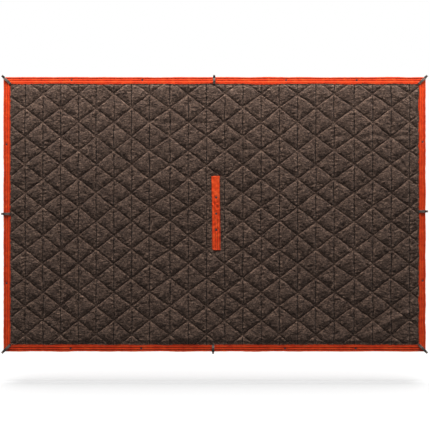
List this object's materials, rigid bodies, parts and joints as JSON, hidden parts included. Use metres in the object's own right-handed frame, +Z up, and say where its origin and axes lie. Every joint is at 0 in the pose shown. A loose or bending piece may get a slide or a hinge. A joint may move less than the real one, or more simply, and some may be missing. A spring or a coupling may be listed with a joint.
{
  "type": "camp quilt",
  "caption": "Rectangular quilted camp blanket with a wide sewn binding, tape loops, edge snaps, and a central head slot closed by a snapped placket.",
  "frame": {"origin": "middle of the quilt's top edge, on its mid-plane", "axes": "+X along the top edge to the front view's right, +Z up the hanging quilt, -Y out of its brown front"},
  "size_m": [2.055, 0.0149, 1.344],
  "materials": {
    "front_cloth": "brushed, matte",
    "lining_cloth": "plain ripstop, low sheen",
    "filling": "fluffy, matte",
    "binding_cloth": "plain weave, low sheen",
    "loop_tape": "narrow woven, matte",
    "snap_metal": "gunmetal plated, satin"
  },
  "bodies": {
    "quilt": {"front_shell": "front_cloth", "batting": "filling", "back_lining": "lining_cloth", "slot_facing": "binding_cloth", "binding_top": "binding_cloth", "binding_bottom": "binding_cloth", "binding_left": "binding_cloth", "binding_right": "binding_cloth", "edge_cap_top_left_inner": "snap_metal", "edge_cap_top_left_outer": "snap_metal", "edge_cap_top_right_inner": "snap_metal", "edge_cap_top_right_outer": "snap_metal", "edge_cap_bottom_left_inner": "snap_metal", "edge_cap_bottom_left_outer": "snap_metal", "edge_cap_bottom_right_inner": "snap_metal", "edge_cap_bottom_right_outer": "snap_metal", "edge_cap_left_upper": "snap_metal", "edge_cap_left_lower": "snap_metal", "edge_cap_right_upper": "snap_metal", "edge_cap_right_lower": "snap_metal", "edge_socket_top_left_inner": "snap_metal", "edge_socket_top_left_outer": "snap_metal", "edge_stud_top_right_inner": "snap_metal", "edge_stud_top_right_outer": "snap_metal", "edge_socket_bottom_left_inner": "snap_metal", "edge_socket_bottom_left_outer": "snap_metal", "edge_stud_bottom_right_inner": "snap_metal", "edge_stud_bottom_right_outer": "snap_metal", "edge_socket_left_upper": "snap_metal", "edge_socket_left_lower": "snap_metal", "edge_stud_right_upper": "snap_metal", "edge_stud_right_lower": "snap_metal"},
    "over_flap": {"placket_over": "binding_cloth", "placket_cap_upper": "snap_metal", "placket_cap_middle": "snap_metal", "placket_cap_lower": "snap_metal", "placket_socket_upper": "snap_metal", "placket_socket_middle": "snap_metal", "placket_socket_lower": "snap_metal"},
    "under_flap": {"placket_under": "binding_cloth", "placket_stud_upper": "snap_metal", "placket_stud_middle": "snap_metal", "placket_stud_lower": "snap_metal", "placket_rivet_upper": "snap_metal", "placket_rivet_middle": "snap_metal", "placket_rivet_lower": "snap_metal"},
    "top_left_loop": {"loop_top_left": "loop_tape"},
    "top_centre_loop": {"loop_top_centre": "loop_tape"},
    "top_right_loop": {"loop_top_right": "loop_tape"},
    "middle_left_loop": {"loop_middle_left": "loop_tape"},
    "middle_right_loop": {"loop_middle_right": "loop_tape"},
    "bottom_left_loop": {"loop_bottom_left": "loop_tape"},
    "bottom_centre_loop": {"loop_bottom_centre": "loop_tape"},
    "bottom_right_loop": {"loop_bottom_right": "loop_tape"}
  },
  "joints": [
    {"name": "over_flap_turn", "type": "hinge", "parent": "quilt", "child": "over_flap", "pos_m": [0.0255, -0.0038, -0.6555], "axis": [0, 0, 1], "range_deg": [0, 165]},
    {"name": "under_flap_turn", "type": "hinge", "parent": "quilt", "child": "under_flap", "pos_m": [-0.0135, 0.0038, -0.6555], "axis": [0, 0, 1], "range_deg": [0, 165]},
    {"name": "top_left_loop_fold", "type": "hinge", "parent": "quilt", "child": "top_left_loop", "pos_m": [-0.981, -0.0052, -0.035], "axis": [0.7071, 0, 0.7071], "range_deg": [0, 165], "stiffness_Nm_per_rad": 0.004},
    {"name": "top_centre_loop_fold", "type": "hinge", "parent": "quilt", "child": "top_centre_loop", "pos_m": [-0.002, -0.0052, -0.035], "axis": [1, 0, 0], "range_deg": [0, 165], "stiffness_Nm_per_rad": 0.004},
    {"name": "top_right_loop_fold", "type": "hinge", "parent": "quilt", "child": "top_right_loop", "pos_m": [0.981, -0.0052, -0.035], "axis": [0.7071, 0, -0.7071], "range_deg": [0, 165], "stiffness_Nm_per_rad": 0.004},
    {"name": "middle_left_loop_fold", "type": "hinge", "parent": "quilt", "child": "middle_left_loop", "pos_m": [-0.981, -0.0052, -0.6585], "axis": [0, 0, 1], "range_deg": [0, 165], "stiffness_Nm_per_rad": 0.004},
    {"name": "middle_right_loop_fold", "type": "hinge", "parent": "quilt", "child": "middle_right_loop", "pos_m": [0.981, -0.0052, -0.6465], "axis": [0, 0, -1], "range_deg": [0, 165], "stiffness_Nm_per_rad": 0.004},
    {"name": "bottom_left_loop_fold", "type": "hinge", "parent": "quilt", "child": "bottom_left_loop", "pos_m": [-0.981, -0.0052, -1.286], "axis": [-0.7071, 0, 0.7071], "range_deg": [0, 165], "stiffness_Nm_per_rad": 0.004},
    {"name": "bottom_centre_loop_fold", "type": "hinge", "parent": "quilt", "child": "bottom_centre_loop", "pos_m": [-0.007, -0.0052, -1.286], "axis": [-1, 0, 0], "range_deg": [0, 165], "stiffness_Nm_per_rad": 0.004},
    {"name": "bottom_right_loop_fold", "type": "hinge", "parent": "quilt", "child": "bottom_right_loop", "pos_m": [0.981, -0.0052, -1.286], "axis": [-0.7071, 0, -0.7071], "range_deg": [0, 165], "stiffness_Nm_per_rad": 0.004}
  ]
}
